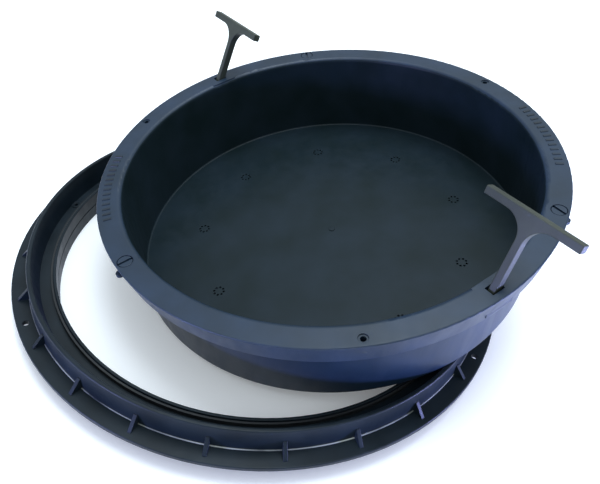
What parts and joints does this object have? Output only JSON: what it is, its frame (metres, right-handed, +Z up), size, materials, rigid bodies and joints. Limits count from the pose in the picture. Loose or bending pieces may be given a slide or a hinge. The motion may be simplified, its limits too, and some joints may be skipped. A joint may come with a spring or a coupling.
{
  "type": "recessed_round_manhole_cover",
  "caption": "Recessed round manhole cover in dark moulded plastic, its paver tray lifted out and leaning in the ribbed frame ring, with two T-shaped lifting keys standing in the rim.",
  "frame": {"origin": "the centre of the circle of fixing holes, on the underside of the frame's flange", "axes": "+Z up along the frame ring's axis; +X to the right and +Y away from the viewer as the part is shown, with one fixing hole on +Y"},
  "size_m": [0.5747, 0.5428, 0.23],
  "materials": {
    "frame_plastic": "satin moulded polypropylene",
    "tray_plastic": "satin moulded polypropylene",
    "lock_plastic": "satin moulded nylon",
    "key_plastic": "matte moulded nylon",
    "seal_rubber": "matte neoprene",
    "plated_steel": "zinc plated"
  },
  "bodies": {
    "frame": {"frame": "frame_plastic", "frame_seal": "seal_rubber"},
    "tray": {"tray": "tray_plastic"},
    "lock_1": {"lock_plug_1": "lock_plastic", "lock_cam_1": "lock_plastic", "cam_screw_1": "plated_steel", "plug_seal_1": "seal_rubber"},
    "lock_2": {"lock_plug_2": "lock_plastic", "lock_cam_2": "lock_plastic", "cam_screw_2": "plated_steel", "plug_seal_2": "seal_rubber"},
    "lock_3": {"lock_plug_3": "lock_plastic", "lock_cam_3": "lock_plastic", "cam_screw_3": "plated_steel", "plug_seal_3": "seal_rubber"},
    "key_near": {"lifting_key_near": "key_plastic"},
    "key_far": {"lifting_key_far": "key_plastic"}
  },
  "joints": [
    {"name": "tray_lift", "type": "slide", "parent": "frame", "child": "tray", "axis": [0, 0, 1], "range_m": [0, 0.25]},
    {"name": "lock_1_turn", "type": "hinge", "parent": "tray", "child": "lock_1", "pos_m": [0.03746, 0.25829, 0.13809], "axis": [-0.1791, -0.0659, 0.9816], "range_deg": [0, 90]},
    {"name": "lock_2_turn", "type": "hinge", "parent": "tray", "child": "lock_2", "pos_m": [-0.12701, -0.1134, 0.08314], "axis": [-0.1791, -0.0659, 0.9816], "range_deg": [0, 90]},
    {"name": "lock_3_turn", "type": "hinge", "parent": "tray", "child": "lock_3", "pos_m": [0.27434, -0.07589, 0.15887], "axis": [-0.1791, -0.0659, 0.9816], "range_deg": [0, 90]},
    {"name": "key_near_rock", "type": "hinge", "parent": "tray", "child": "key_near", "pos_m": [0.19739, -0.16794, 0.13662], "axis": [0.5775, -0.8148, 0.0507], "range_deg": [0, 26]},
    {"name": "key_far_rock", "type": "hinge", "parent": "tray", "child": "key_far", "pos_m": [-0.07348, 0.2142, 0.11285], "axis": [0.5775, -0.8148, 0.0507], "range_deg": [0, 30]}
  ]
}
